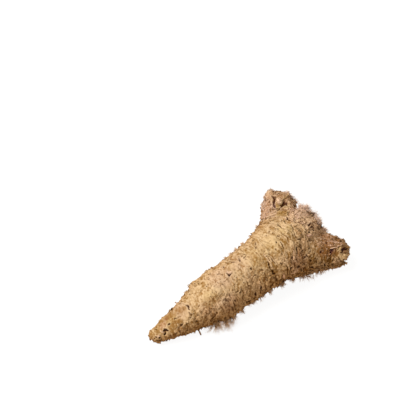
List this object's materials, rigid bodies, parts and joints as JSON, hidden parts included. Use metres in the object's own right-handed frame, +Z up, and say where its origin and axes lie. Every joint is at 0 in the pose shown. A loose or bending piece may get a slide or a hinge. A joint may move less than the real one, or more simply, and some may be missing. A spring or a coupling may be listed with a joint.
{
  "type": "iris rhizome",
  "caption": "Trimmed bearded iris rhizome: a ringed, tapering storage stem that forks into short lobes with torn leaf bases.",
  "frame": {"origin": "on the surface that the rhizome lies on, under the middle of its bounding box", "axes": "+X along the trunk from its tapered tip to the fork, +Y towards the lobe that turns further from the trunk, +Z up"},
  "size_m": [0.1134, 0.06, 0.0287],
  "materials": {
    "bark": "dry flaky bark, tan with darker brown pits and pinkish brown torn leaf bases, matt"
  },
  "bodies": {
    "root": {"rhizome": "bark"}
  },
  "joints": []
}
